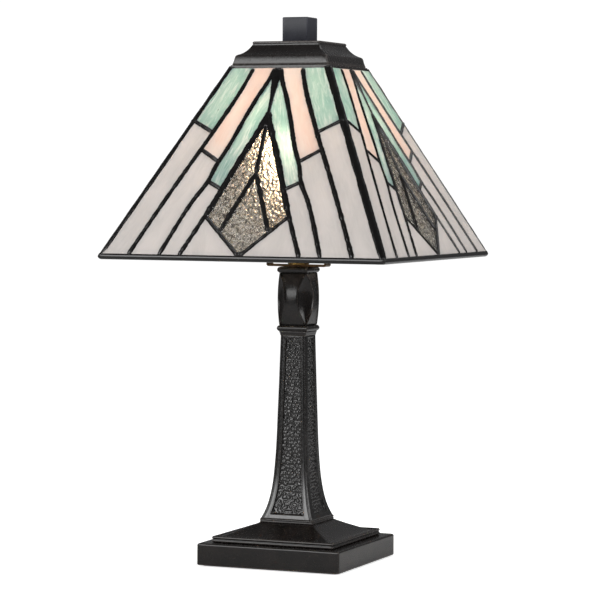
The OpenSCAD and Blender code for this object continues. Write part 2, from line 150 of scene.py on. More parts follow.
def rounded_square(half, z, r, along, turn=4, push=None):
    """Points round a square of rounded corners at height z, anticlockwise from the front left."""
    points = []
    reach = half - r
    for spin in QUARTERS:
        for i in range(along):
            points.append(spin @ Vector((-reach + 2 * reach * i / along, -half, z)))
        for i in range(turn):
            a = -pi / 2 + pi / 2 * i / turn
            points.append(spin @ Vector((reach + r * cos(a), -reach + r * sin(a), z)))
    return [push(p) for p in points] if push else points


def uneven(amount, size):
    """A push that moves points in and out from the lamp's axis by slow noise."""
    return lambda p: p + Vector((p.x, p.y, 0)).normalized() * amount * noise.noise(p / size)


def off(x, z, *steps):
    """Outline points, each a step in mm from (x, z)."""
    return [(x + dx * MM, z + dz * MM) for dx, dz in steps]


def arc(cx, cz, r, start, end, n):
    """Points on a circle from one angle to another, in degrees."""
    return [(cx + r * cos(radians(start + (end - start) * i / n)),
             cz + r * sin(radians(start + (end - start) * i / n))) for i in range(n + 1)]


# ---- material helpers
def hexcol(text):
    """A linear colour from an sRGB hex string."""
    channels = [int(text[i:i + 2], 16) / 255 for i in (0, 2, 4)]
    return tuple(c / 12.92 if c <= 0.04045 else ((c + 0.055) / 1.055) ** 2.4
                 for c in channels) + (1.0,)


class Nodes:
    """A short way to write a material's node tree."""

    def __init__(self, name):
        self.material = bpy.data.materials.new(name)
        self.material.use_nodes = True
        self.tree = self.material.node_tree
        self.tree.nodes.clear()
        self.out = self.add("ShaderNodeOutputMaterial")

    def add(self, kind, **settings):
        node = self.tree.nodes.new(kind)
        for key, value in settings.items():
            setattr(node, key, value)
        return node

    def set(self, node, **inputs):
        for key, value in inputs.items():
            socket = node.inputs[int(key[1:]) if key[1:].isdigit() else key.replace("_", " ")]
            if isinstance(value, bpy.types.NodeSocket):
                self.tree.links.new(value, socket)
            else:
                socket.default_value = value
        return node

    def object_coords(self):
        """Real positions in metres: every piece's mesh sits in the lamp's own frame."""
        return self.add("ShaderNodeTexCoord").outputs["Object"]

    def grain_coords(self):
        """The glass's own positions, turned along each strip and moved on from pane to pane."""
        return self.add("ShaderNodeAttribute", attribute_name="grain").outputs["Vector"]

    def stretch(self, vector, scale):
        node = self.add("ShaderNodeMapping")
        return self.set(node, Vector=vector, Scale=scale).outputs[0]

    def noise(self, vector, scale, detail=4.0, rough=0.55, distort=0.0):
        node = self.add("ShaderNodeTexNoise")
        return self.set(node, Vector=vector, Scale=scale, Detail=detail, Roughness=rough,
                        Distortion=distort).outputs["Fac"]

    def voronoi(self, vector, scale):
        node = self.add("ShaderNodeTexVoronoi")
        return self.set(node, Vector=vector, Scale=scale).outputs["Distance"]

    def ramp(self, value, stops):
        node = self.add("ShaderNodeValToRGB")
        marks = node.color_ramp.elements
        while len(marks) < len(stops):
            marks.new(0.5)
        for mark, (at, colour) in zip(marks, stops):
            mark.position = at
            mark.color = colour if isinstance(colour, tuple) else (colour, colour, colour, 1)
        self.tree.links.new(value, node.inputs[0])
        return node.outputs[0]

    def math(self, operation, a, b):
        node = self.add("ShaderNodeMath", operation=operation)
        return self.set(node, _0=a, _1=b).outputs[0]

    def mix(self, factor, a, b):
        node = self.add("ShaderNodeMix", data_type="RGBA")
        return self.set(node, _0=factor, _6=a, _7=b).outputs[2]

    def bump(self, height, strength, distance):
        node = self.add("ShaderNodeBump")
        return self.set(node, Strength=strength, Distance=distance, Height=height).outputs[0]

    def camera_ray(self):
        return self.add("ShaderNodeLightPath").outputs["Is Camera Ray"]

    def principled(self, **inputs):
        return self.set(self.add("ShaderNodeBsdfPrincipled"), **inputs)

    def finish(self, shader):
        self.tree.links.new(shader, self.out.inputs[0])
        return self.material


def metal(name, dark, light, edge_wear_and_highlight, rough, wear_and_highlight, metallic=0.0, spot_scale=60.0, grain_bump=0.03,
          shine=0.4):
    """Patinated metal: blotches of two tones, fine cast grain, and lighter edges, partly rubbed wear
    and partly a painted highlight.
    """
    m = Nodes(name)
    at = m.object_coords()
    blotch = m.noise(at, spot_scale, detail=5.0)
    speck = m.noise(at, spot_scale * 9, detail=3.0)
    tone = m.ramp(blotch, [(0.35, hexcol(dark)), (0.72, hexcol(light))])
    # Painted highlight with wear: sharp edges, found by pointiness, are lightened towards the edge
    # colour. This stands partly for rubbed metal and partly for the light that edges catch.
    edge = m.ramp(m.add("ShaderNodeNewGeometry").outputs["Pointiness"], [(0.52, 0.0), (0.6, 1.0)])
    rubbed_and_highlight = m.math("MULTIPLY", edge, m.math("MULTIPLY", m.ramp(speck, [(0.3, 0.3), (0.7, 1.0)]), wear_and_highlight))
    colour = m.mix(rubbed_and_highlight, tone, hexcol(edge_wear_and_highlight))
    roughness = m.ramp(speck, [(0.25, max(rough - 0.08, 0.05)), (0.75, rough + 0.1)])
    height = m.noise(at, 900.0, detail=2.0)
    shader = m.principled(Base_Color=colour, Metallic=metallic, Roughness=roughness,
                          Specular_IOR_Level=shine, Normal=m.bump(height, grain_bump, 0.2 * MM))
    return m.finish(shader.outputs[0])


def plain(name, colour, rough, metallic=0.0, speck=0.06, bump=0.1):
    """A moulded, drawn or plated surface with faint mottling."""
    m = Nodes(name)
    at = m.object_coords()
    grain = m.noise(at, 700.0, detail=3.0)
    base = hexcol(colour)
    darker = tuple(c * (1 - speck * 3) for c in base[:3]) + (1.0,)
    tone = m.mix(m.ramp(m.noise(at, 50.0), [(0.3, 0.0), (0.7, 1.0)]), base, darker)
    roughness = m.ramp(grain, [(0.2, max(rough - 0.05, 0.03)), (0.8, rough + 0.08)])
    shader = m.principled(Base_Color=tone, Roughness=roughness, Metallic=metallic,
                          Normal=m.bump(grain, bump, 0.1 * MM))
    return m.finish(shader.outputs[0])


def opal_glass(name, base, streak, deep, streaky, ripple, through, clarity=0.0, rough=0.26,
               seeds=False):
    """Opalescent sheet glass: wisps drawn out along the sheet, lit from behind by the bulb."""
    m = Nodes(name)
    at = m.grain_coords()
    wisps = m.noise(m.stretch(at, (1.0, 0.16, 1.0)), 230.0, detail=7.0, rough=0.6, distort=1.4)
    cloud = m.noise(m.stretch(at, (1.0, 0.4, 1.0)), 60.0, detail=3.0, distort=0.6)
    colour = m.mix(m.ramp(cloud, [(0.36, 0.0), (0.66, 1.0)]), hexcol(base), hexcol(deep))
    colour = m.mix(m.math("MULTIPLY", m.ramp(wisps, [(0.46, 0.0), (0.68, 1.0)]), streaky),
                   colour, hexcol(streak))
    waves = m.noise(m.stretch(at, (1.0, 0.4, 1.0)), 170.0, detail=3.0, distort=0.6)
    if seeds:
        dots = m.ramp(m.voronoi(m.stretch(at, (1.0, 0.6, 1.0)), 95.0), [(0.05, 1.0), (0.09, 0.0)])
        colour = m.mix(m.math("MULTIPLY", dots, 0.45), colour, hexcol("4f6f68"))
    normal = m.bump(waves, ripple, 0.8 * MM)
    face = m.principled(Base_Color=colour, Roughness=rough, IOR=1.5, Specular_IOR_Level=0.3,
                        Transmission_Weight=clarity, Normal=normal)
    lit = m.set(m.add("ShaderNodeBsdfTranslucent"), Color=colour, Normal=normal)
    both = m.set(m.add("ShaderNodeMixShader"), _0=through, _1=face.outputs[0], _2=lit.outputs[0])
    return m.finish(both.outputs[0])


def clear_hammered(name, tint_and_glints):
    """Clear amber-tinted sheet glass rolled with a hammered pattern; the shapes are in the mesh. Its
    colour is spotted from dark brown to near white: the amber tint with painted glints and dark
    refractions.
    """
    m = Nodes(name)
    at = m.grain_coords()
    fine = m.noise(at, 520.0, detail=3.0, distort=0.8)
    # Painted glints and dark refractions: noise spots the glass's colour from dark brown to near white
    # over its amber tint.
    shade = m.noise(at, 330.0, detail=4.0, distort=1.0)
    colour = m.ramp(shade, [(mark, hexcol(tint)) for mark, tint in zip((0.38, 0.5, 0.62), tint_and_glints)])
    shader = m.principled(Base_Color=colour, Roughness=0.14, IOR=1.5, Transmission_Weight=1.0,
                          Normal=m.bump(fine, 0.7, 0.6 * MM))
    return m.finish(shader.outputs[0])


def glowing_bulb(name):
    """Frosted bulb glass, lit: brightest in the ball, and dimmer to the camera than to the shade."""
    m = Nodes(name)
    z = m.add("ShaderNodeSeparateXYZ")
    m.set(z, Vector=m.object_coords())
    _, low, high = extent("bulb_glass")
    share = m.math("DIVIDE", m.math("SUBTRACT", z.outputs[2], low), high - low)
    glow = m.ramp(share, [(0.0, 0.03), (0.55, 0.14), (0.86, 1.0)])
    hidden = m.math("MULTIPLY", m.camera_ray(), BULB_GLOW - BULB_FACE)
    strength = m.math("MULTIPLY", glow, m.math("SUBTRACT", BULB_GLOW, hidden))
    frost = m.noise(m.object_coords(), 900.0)
    shader = m.principled(Base_Color=hexcol("fbf3e2"), Roughness=0.4,
                          Emission_Color=hexcol("ffe4c4"), Emission_Strength=strength,
                          Normal=m.bump(frost, 0.1, 0.1 * MM))
    return m.finish(shader.outputs[0])


def felt(name):
    """Dark green wool felt: a fine tangle of fibres."""
    m = Nodes(name)
    at = m.object_coords()
    fibres = m.noise(at, 1800.0, detail=6.0, distort=1.5)
    colour = m.ramp(fibres, [(0.3, hexcol("141a14")), (0.7, hexcol("2b352b"))])
    shader = m.principled(Base_Color=colour, Roughness=0.95, Sheen_Weight=0.4,
                          Normal=m.bump(fibres, 0.6, 0.4 * MM))
    return m.finish(shader.outputs[0])


BULB_GLOW = 50.0  # strength of the light that the bulb gives
BULB_FACE = 0.55  # strength of its glass as the camera sees it
# The fourth colour of each metal is the colour of its sharp edges: partly rubbed wear, partly a painted
# highlight that the edges catch.
hammered_bronze = metal("hammered_bronze", "0a0908", "151211", "5e5753", rough=0.19, wear_and_highlight=0.6,
                        shine=0.48)
LOOKS = {
    "bronze_casting": metal("cast_bronze", "0b0908", "1a1513", "736b66", 0.22, 0.8, shine=0.3),
    "bronze_sheet": metal("sheet_bronze", "0e0c0c", "1c1817", "7a726e", 0.22, 0.8, spot_scale=45.0,
                          shine=0.32),
    "dark_solder": metal("dark_solder", "060505", "0f0d0c", "34302e", 0.14, 0.25, spot_scale=140.0,
                         grain_bump=0.12, shine=0.34),
    "slate_finial": metal("slate_paint", "1d1e25", "27282f", "5c5e68", 0.48, 0.5, spot_scale=80.0,
                          grain_bump=0.2, shine=0.3),
    "antique_brass": metal("antique_brass", "2b1d10", "4a3520", "8a6c45", 0.32, 0.5, metallic=0.8),
    "brass": metal("brass", "8f6d33", "b58d49", "d8b876", 0.22, 0.3, metallic=1.0),
    "steel": plain("zinc_plated_steel", "a9a9a8", 0.3, metallic=1.0),
    "black_plastic": plain("black_plastic", "17171a", 0.38),
    "liner_card": plain("pressed_fibre", "b9a37b", 0.85, speck=0.1, bump=0.4),
    "bulb_wire": plain("drawn_wire", "b7b5ae", 0.25, metallic=1.0),
    "felt": felt("felt"),
    "bulb_glass": glowing_bulb("frosted_bulb"),
    "green_glass": opal_glass("green_opal", "c2d9d3", "f8fbf9", "9dc1bc", 0.85, 0.5, 0.44,
                              clarity=0.46, rough=0.3, seeds=True),
    "peach_glass": opal_glass("peach_opal", "f4e8de", "f9efe8", "f1dbce", 0.3, 0.1, 0.43),
    "white_glass": opal_glass("white_opal", "e5dfdb", "ede8e4", "dbd6d2", 0.35, 0.1, 0.43),
    # The clear glass's three tints run from dark brown to near white: its amber tint with painted
    # glints and dark refractions.
    "clear_glass": clear_hammered("clear_hammered", ("82796d", "f1ead9", "fdfaf3")),
}
for part in frame["record"]["subparts"]:
    node = frame["nodes"][part["node"]]
    node.data.materials.clear()
    node.data.materials.append(LOOKS[part["material_slot"]])


# ---- the shade's four sides
RIM_X, RIM_FOOT, RIM_HEAD = extent("rim_band")
TOP_HALF, COLLAR_FOOT, COLLAR_HEAD = extent("collar_band")
RIM_Z = (RIM_FOOT + RIM_HEAD) / 2
RIM_HALF = RIM_X - 1.5 * MM
TOP_Z = COLLAR_HEAD - 2 * MM
SLOPE_L = hypot(TOP_Z - RIM_Z, RIM_HALF - TOP_HALF)
SLOPE_ANGLE = atan2(TOP_Z - RIM_Z, RIM_HALF - TOP_HALF)
GLASS_HALF = 1.5 * MM
FOOT_V = 2.6 * MM
HEAD_V = SLOPE_L - 2.5 * MM

# Solder line centres on one half of a side, in mm: (height up the slope, distance from the middle)
LINE_OUTER = ((0, 120.5), (54, 96.5), (99, 75.5), (127, 62), (152, 50.5), (185, 36), (216, 25.5))
LINE_INNER = ((0, 87), (62, 62), (83, 50.5), (103, 44.5), (121, 36.5), (153, 25.5), (181, 15),
              (198, 7.5), (216, 2))
# The kite's heights: its side corners, where its two branches leave the lower edges, where they meet,
# and its tip
KITE_WIDE, KITE_EARS, KITE_FORK, KITE_TIP = 46, 29, 94, 163
LINE_KITE = ((0, 65), (KITE_WIDE, 45), (75, 33.5), (109, 20.5), (147, 5), (KITE_TIP, 0), (216, 0))
KITE_FOOT = ((2, 0), (KITE_WIDE, 45))
KITE_BRANCH = ((KITE_EARS, 26), (KITE_FORK, 0), (216, 0))
KITE_EDGE = ((2, 0), (KITE_EARS, 26), (KITE_FORK, 0))
KITE_SIDE = ((KITE_EARS, 26),) + LINE_KITE[1:]
OUTER_CROSS = (139, 153.5)
MIDDLE_CROSS = (106, 120)
INNER_CROSS = (75, 84)
GREEN_TOP = 204
KITE_TOP = 151


def side_matrix(i):
    """Puts a flat drawing of one side on the slope: x across, y up the slope, z outwards."""
    return (Matrix.Rotation(i * pi / 2, 4, "Z") @ Matrix.Translation((0, -RIM_HALF, RIM_Z))
            @ Matrix.Rotation(SLOPE_ANGLE, 4, "X"))


def hip_u(v):
    """Half the width of a side at height v up the slope."""
    return RIM_HALF - v * (RIM_HALF - TOP_HALF) / SLOPE_L


def line_at(table):
    """A function for the smooth line through a table's points, straight beyond its ends."""
    vs = [v * MM for v, u in table]
    us = [u * MM for v, u in table]
    slopes = [(us[i + 1] - us[i]) / (vs[i + 1] - vs[i]) for i in range(len(vs) - 1)]
    tangents = [slopes[0]] + [(a + b) / 2 for a, b in zip(slopes, slopes[1:])] + [slopes[-1]]

    def at(v):
        v = min(max(v, vs[0]), vs[-1])
        i = max(k for k in range(len(vs) - 1) if vs[k] <= v)
        h = vs[i + 1] - vs[i]
        t = (v - vs[i]) / h
        return ((2 * t ** 3 - 3 * t ** 2 + 1) * us[i] + (t ** 3 - 2 * t ** 2 + t) * h * tangents[i]
                + (3 * t ** 2 - 2 * t ** 3) * us[i + 1] + (t ** 3 - t ** 2) * h * tangents[i + 1])
    return at


def polyline_at(table):
    """The same, with corners at the table's points."""
    def at(v):
        v = min(max(v, table[0][0] * MM), table[-1][0] * MM)
        for (v0, u0), (v1, u1) in zip(table, table[1:]):
            if v <= v1 * MM:
                return (u0 + (u1 - u0) * (v / MM - v0) / (v1 - v0)) * MM
        return table[-1][1] * MM
    return at


outer_line, inner_line, kite_line = map(line_at, (LINE_OUTER, LINE_INNER, LINE_KITE))
kite_foot, kite_branch, kite_edge, kite_side = map(
    polyline_at, (KITE_FOOT, KITE_BRANCH, KITE_EDGE, KITE_SIDE))


def hip_line(v):
    """Where the outer panes end, under the corner's solder."""
    return hip_u(v) - 2.4 * MM


class Pane:
    """One piece of glass between two lines, with its foot and head heights in mm on each of them."""

    def __init__(self, left, right, foot, head, mirror=True):
        self.left, self.right, self.mirror = left, right, mirror
        self.foot, self.head = [v * MM for v in foot], [v * MM for v in head]

    def point(self, s, t):
        """The drawing's point at shares s across and t up the pane."""
        v = ((self.foot[0] + (self.foot[1] - self.foot[0]) * s) * (1 - t)
             + (self.head[0] + (self.head[1] - self.head[0]) * s) * t)
        v = min(max(v, FOOT_V), HEAD_V)
        left, right = self.left(v), self.right(v)
        return left + (right - left) * s, v


def kite_outer(v):
    """The outer edge of the kite's upper pieces: its lower edge, then its long side."""
    return min(kite_side(v), kite_foot(v) if v < KITE_WIDE * MM else kite_line(v))


LOW, HIGH = (0, 0), (SLOPE_L / MM,) * 2
PANES = {
    "green_glass": [
        Pane(outer_line, hip_line, OUTER_CROSS, HIGH),
        Pane(kite_line, inner_line, INNER_CROSS, (GREEN_TOP,) * 2),
    ],
    "peach_glass": [Pane(inner_line, outer_line, MIDDLE_CROSS, HIGH)],
    "white_glass": [
        Pane(outer_line, hip_line, LOW, OUTER_CROSS),
        Pane(inner_line, outer_line, LOW, MIDDLE_CROSS),
        Pane(kite_line, inner_line, LOW, INNER_CROSS),
        Pane(kite_foot, kite_line, LOW, (KITE_WIDE,) * 2),
    ],
    "clear_glass": [
        Pane(lambda v: -kite_edge(v), kite_edge, (2.7, 2.7), (KITE_FORK,) * 2, mirror=False),
        Pane(kite_branch, kite_outer, (KITE_EARS,) * 2, (KITE_TOP,) * 2),
    ],
}


def ripple(kind, p):
    """How far a glass face rises at a point: the clear glass has shallow dents that meet in ridges."""
    if kind == "clear_glass":
        bent = p + Vector((0.8 * MM * noise.noise(p / (5 * MM)), 0, 0))
        near = noise.voronoi(bent / (3.0 * MM))[0][0]
        dent = 0.8 * MM * (min(near, 0.9) ** 2 * 1.6 - 0.5)
        return dent + 0.3 * MM * noise.noise(p / (1.5 * MM))
    if kind == "green_glass":
        return 0.3 * MM * noise.noise(Vector((p.x / (4 * MM), p.y / (11 * MM), p.z)))
    return 0.06 * MM * noise.noise(Vector((p.x / (16 * MM), p.y / (24 * MM), p.z)))


def glass_side(kind, i, step):
    """All the panes of one kind of glass on one side, each a closed sheet with its own grain."""
    build = Build()
    place = side_matrix(i)
    number = 0
    for pane in PANES[kind]:
        for flip in ((1, -1) if pane.mirror else (1,)):
            number += 1
            corner = [Vector(pane.point(s, t)) for s, t in ((0, 0), (1, 0), (0, 1), (1, 1))]
            width = max((corner[1] - corner[0]).length, (corner[3] - corner[2]).length,
                        abs(pane.point(1, 0.5)[0] - pane.point(0, 0.5)[0]))
            length = max((corner[2] - corner[0]).length, (corner[3] - corner[1]).length)
            across, up = max(2, ceil(width / step)), max(2, ceil(length / step))
            lean = asin(((corner[2] - corner[0]).x + (corner[3] - corner[1]).x) / 2 / length) * flip
            seed = Vector((number * 0.37 + i * 1.9, number * 0.71 - i * 0.83, number * 0.53 + i))
            base = len(build.verts)
            rows = across + 1
            for face in (1, -1):
                for b in range(up + 1):
                    for a in range(rows):
                        u, v = pane.point(a / across, b / up)
                        u *= flip
                        rise = ripple(kind, Vector((u, v, seed.z * 3 + face)))
                        build.verts.append(place @ Vector((u, v, face * (GLASS_HALF + rise))))
                        turned = (u * cos(lean) - v * sin(lean), u * sin(lean) + v * cos(lean))
                        build.grain.append((turned[0] + seed.x, turned[1] + seed.y, seed.z))
            size = rows * (up + 1)

            def quad(a, b, c, d):
                build.faces.append((a, b, c, d) if flip > 0 else (d, c, b, a))
            for b in range(up):
                for a in range(across):
                    p = base + b * rows + a
                    quad(p, p + 1, p + rows + 1, p + rows)
                    q = p + size
                    quad(q, q + rows, q + rows + 1, q + 1)
            border = ([(a, 0) for a in range(across)] + [(across, b) for b in range(up)]
                      + [(a, up) for a in range(across, 0, -1)] + [(0, b) for b in range(up, 0, -1)])
            loop = [base + b * rows + a for a, b in border]
            for p, q in zip(loop, loop[1:] + loop[:1]):
                quad(q, p, p + size, q + size)
    node = f"{kind}_{SIDES[i]}"
    build.piece(f"panes_{node}", "shade", kind, node)


GLASS_STEPS = (("green_glass", 2.0), ("peach_glass", 4.0), ("white_glass", 4.0), ("clear_glass", 0.75))
for i in range(4):
    for kind, step in GLASS_STEPS:
        glass_side(kind, i, step * MM)


# ---- solder lines
LINE_HALF = 3.0 * MM
CROSS_HALF = 2.6 * MM
KITE_HALF = 3.4 * MM
LINE_DEEP = 2.8 * MM


def solder_run(build, place, ends, seed, half=LINE_HALF, grow=None, lumps=1.0):
    """A lumpy rounded bead along a flat path [(u, v), ...], on both faces of the glass."""
    step = 1.5 * MM
    points = [Vector((u, v, 0)) for u, v in ends]
    path, across, deep = [], [], []
    for a, b in zip(points, points[1:]):
        count = max(1, round((b - a).length / step))
        path += [a + (b - a) * k / count for k in range(count)]
    path.append(points[-1])
    for k, p in enumerate(path):
        lump = noise.noise(Vector((p.x / (7 * MM) + seed, p.y / (7 * MM), seed)))
        fine = noise.noise(Vector((p.x / (2.3 * MM), p.y / (2.3 * MM) + seed, 7.0)))
        wide = grow(p.y) if grow else 1.0
        end = min(k, len(path) - 1 - k)
        tip = (0.45, 0.85)[end] if end < 2 else 1.0
        across.append(half * wide * tip * (1 + lumps * (0.15 * lump + 0.12 * fine)))
        deep.append(LINE_DEEP * tip * (1 + 0.05 * lump + 0.09 * fine))
    build.tube([place @ p for p in path], across, deep, side=place.to_3x3() @ Vector((0, 0, 1)))


def sampled(line, v0, v1, flip):
    """Points (u, v) every 4 mm or so along a line between two heights."""
    count = max(1, ceil((v1 - v0) / (4 * MM)))
    return [(flip * line(v0 + (v1 - v0) * k / count), v0 + (v1 - v0) * k / count)
            for k in range(count + 1)]


def crown(v):
    """Width of the centre line: it fills the space between the strips' tips under the cap."""
    v = v / MM
    share = [min(max(x, 0), 1) for x in ((v - 172) / 24, (v - 196) / 8, (v - 206) / 10)]
    return 0.78 + 0.75 * share[0] + 0.65 * share[1] - 0.7 * share[2]


def apex(v):
    """Width of the solder that fills the kite's tip."""
    return 0.9 + 0.95 * min(max((KITE_TIP - v / MM) / 14, 0), 1)


def thicker(v):
    """Width of the kite's long sides: they thicken above its side corners."""
    return 1.0 + 0.22 * min(max((v - KITE_WIDE * MM) / (10 * MM), 0), 1)


def solder_side(i):
    """The solder lines of one side, on the half-side drawing and its mirror image."""
    build = Build()
    low, high = FOOT_V - 1.5 * MM, HEAD_V

    def run(ends, **options):
        solder_run(build, side_matrix(i), ends, **options)
    for flip in (1, -1):
        seed = i * 5.3 + flip
        run(sampled(outer_line, low, high, flip), seed=seed)
        run(sampled(inner_line, low, high, flip), seed=seed + 1)
        run(sampled(kite_line, low, KITE_TIP * MM, flip), seed=seed + 2, grow=thicker, lumps=1.5)
        for line_in, line_out, (v_in, v_out) in ((outer_line, hip_u, OUTER_CROSS),
                                                 (inner_line, outer_line, MIDDLE_CROSS),
                                                 (kite_line, inner_line, INNER_CROSS)):
            v_in, v_out = v_in * MM, v_out * MM
            run([(flip * line_in(v_in), v_in), (flip * line_out(v_out), v_out)],
                half=CROSS_HALF, seed=seed + v_in * 90)
        run(off(0, 0, (flip * 0.6, 2), (flip * 45, KITE_WIDE)), seed=seed + 3, half=CROSS_HALF)
        run(off(0, 0, (0, KITE_FORK), (flip * 26, KITE_EARS)), seed=seed + 4, half=CROSS_HALF,
            lumps=2.2)
    run(off(0, 0, (0, KITE_FORK), (0, 150)), seed=i + 0.4, half=CROSS_HALF, lumps=2.2)
    run([(0, v * MM) for v in (143, 149, 156, KITE_TIP)], half=KITE_HALF, grow=apex, seed=i + 0.7)
    run([(0, v * MM) for v in (156, 168, 180, 190, 196, 204, 210)] + [(0, high)], grow=crown,
        seed=i + 0.9)
    run(off(0, 0, (-3, 4.6), (3, 4.6)), half=3 * MM, seed=i)
    node = f"solder_lines_{SIDES[i]}"
    build.piece(f"beads_{node}", "shade", "dark_solder", node)


for i in range(4):
    solder_side(i)

HIP_IN = 1.5 * MM


def corner_beads():
    """Broad flat solder lines down the four corners, as wide as the foil that wraps round them."""
    build = Build()
    low, high = RIM_HEAD - 3 * MM, COLLAR_FOOT + 2 * MM
    count = 120
    for i, spin in enumerate(QUARTERS):
        path, across, deep = [], [], []
        for k in range(count + 1):
            z = low + (high - low) * k / count
            half = RIM_HALF - (z - RIM_Z) * (RIM_HALF - TOP_HALF) / (TOP_Z - RIM_Z) - HIP_IN
            path.append(spin @ Vector((half, -half, z)))
            lump = noise.noise(Vector((z / (13 * MM), i * 3.1, 0)))
            fine = noise.noise(Vector((z / (2.6 * MM), i * 5.7, 9)))
            foot = min(0.72 + (z - low) / (30 * MM), 1.0)
            across.append(4.5 * MM * foot * (1 + 0.12 * lump + 0.05 * fine))
            deep.append(2.5 * MM * (1 + 0.12 * lump + 0.06 * fine))
        build.tube(path, across, deep, turns=16, side=spin @ Vector((1, -1, 0)))
    build.piece("corner_beads", "shade", "dark_solder", "corner_lines")


corner_beads()


def rim_channel():
    """The folded channel round the foot of the glass, soldered on, with a blob on each corner."""
    build = Build()
    half, low, high = RIM_X - 0.25 * MM, RIM_FOOT, RIM_HEAD
    height = high - low
    inner = half - 4.8 * MM
    outline = (off(inner, low, (0, 0.6), (0.6, 0))
               + arc(half - height / 2, low + height / 2, height / 2, -82, 82, 14)
               + off(inner, high, (0.5, 0), (0, -0.5)))

    build.loft([rounded_square(r, z, 1.4 * MM, along=70, push=uneven(0.16 * MM, 9 * MM))
                for r, z in outline], loop=True)
    centre = Vector((half - 3.1 * MM, -half + 3.1 * MM, (low + high) / 2 + 0.3 * MM))
    blob = [(max(3.2 * MM * cos(a), 0.02 * MM), 3.5 * MM * sin(a))
            for a in (-pi / 2 + pi * k / 8 for k in range(9))]
    for spin in QUARTERS:
        build.lathe(blob, 16, place=spin.to_4x4() @ Matrix.Translation(centre))
    build.piece("rim_channel", "shade", "dark_solder", "rim_band")


rim_channel()


# ---- cap, collar and finial
def sheet_square(name, outline, replaced, corner, amount):
    """A square ring of sheet metal from its outline [half width, height], with rounded corners."""
    build = Build()
    build.loft([rounded_square(half, z, min(corner, half / 3), along=24, turn=5,
                               push=uneven(amount, 11 * MM)) for half, z in outline], loop=True)
    build.piece(name, "shade", "bronze_sheet", replaced)


def bend(x, z, leave, arrive):
    """A corner at (x, z) rounded off between the offsets (dx, dz) where the curve starts and ends."""
    return [(x + leave[0] * (1 - t) ** 2 + arrive[0] * t ** 2,
             z + leave[1] * (1 - t) ** 2 + arrive[1] * t ** 2) for t in (0, 1 / 3, 2 / 3, 1)]


def collar():
    """The band round the top of the glass, under the cap."""
    half, low, high = extent("collar_band")
    inner, r, top_r = half - 6 * MM, 0.8 * MM, 1.1 * MM
    outline = ([(inner, low)] + bend(half, low, (-r, 0), (0, r))
               + bend(half, high, (0, -top_r), (-top_r, 0)) + [(inner, high)])
    sheet_square("collar_channel", outline, "collar_band", 1.6 * MM, 0.15 * MM)


def cap():
    """Pressed sheet cap: a flared band, a hollow cove above it and a flat top with a lip."""
    foot, low, high = extent("vented_cap")
    top, band, t = 36.5 * MM, low + 9 * MM, 1.4 * MM
    cove_foot, cove_head = Vector((48.6 * MM, band + 1.5 * MM)), Vector((top, high - 2.6 * MM))
    sag = Vector((-1, -1)).normalized() * 1.7 * MM
    cove = [cove_foot.lerp(cove_head, k / 7) + sag * sin(pi * (k / 7) ** 0.85) for k in range(8)]
    outer = (off(foot, low, (-0.5, 0), (0, 0.6), (-1.1, 4)) + off(foot, band, (-2.1, -0.4), (-2.9, 0.9))
             + [tuple(p) for p in cove] + off(top, high, (0.5, -2.1), (0.5, -1.0), (-0.4, 0)))
    inner = [(half - t, z - 0.7 * t) for half, z in reversed(outer[1:-3])]
    bore = 3.5 * MM
    outline = outer + [(bore, high), (bore, high - t), (top - t, high - t)] + inner
    sheet_square("pressed_cap", outline, "vented_cap", 1.1 * MM, 0.12 * MM)


def finial():
    """A plain square block with softened edges, hollow below for its threaded insert."""
    half, low, high = extent("finial_block")
    half -= 0.05 * MM
    outline = (off(0, low, (5, 18), (5, 0)) + off(half, low, (-0.4, 0), (0, 0.4))
               + off(half, high, (0, -0.9), (-0.25, -0.3), (-0.8, 0), (-4, 0)) + off(0, high, (0.5, 0)))
    build = Build()
    build.loft([rounded_square(half, z, min(0.5 * MM, half / 3), along=14, turn=3)
                for half, z in outline])
    build.piece("finial_cube", "finial", "slate_finial", "finial_block")


collar()
cap()
finial()


# ---- base
def cast(p, depth=0.12 * MM):
    """Slight unevenness of a sand casting."""
    at = p / (22 * MM)
    return p + Vector((noise.noise(at), noise.noise(at + Vector((5, 0, 0))),
                       noise.noise(at + Vector((0, 9, 0))))) * depth


def cast_square(name, outline, replaced, corner, along):
    """A square casting with a round hole for the pipe down the middle."""
    build = Build()
    rings = [rounded_square(half, z, min(corner, half * 0.45), along=along, turn=5, push=cast)
             for half, z in outline]

    def hole(z):
        bore = 5.2 * MM
        return [Vector((bore * cos(a), bore * sin(a), z))
                for a in (atan2(p.y, p.x) for p in rings[0])]
    build.loft([hole(outline[0][1])] + rings + [hole(outline[-1][1])], loop=True)
    build.piece(name, "stand", "bronze_casting", replaced)


def base():
    """The square base, its top edge rounded over."""
    half, low, high = extent("base_plate")
    half, high, r = half - 0.1 * MM, high - 0.1 * MM, 2.0 * MM
    outline = (off(half, low, (-0.8, 0), (0, 0.8), (0, 1.8), (0, 7)) + off(half, high, (0, -7), (0, -3))
               + arc(half - r, high - r, r, 0, 90, 6)
               + off(half, high, (-3, 0), (-6, 0), (-14, 0)) + off(0, high, (20, 0)))
    cast_square("base_casting", outline, "base_plate", 1.2 * MM, along=44)


def two_beads(half, low, high, r):
    """The outline of two beads of radius r, one on the other."""
    return arc(half - r, low + r, r, -90, 60, 6) + arc(half - r, high - r, r, -60, 90, 6)


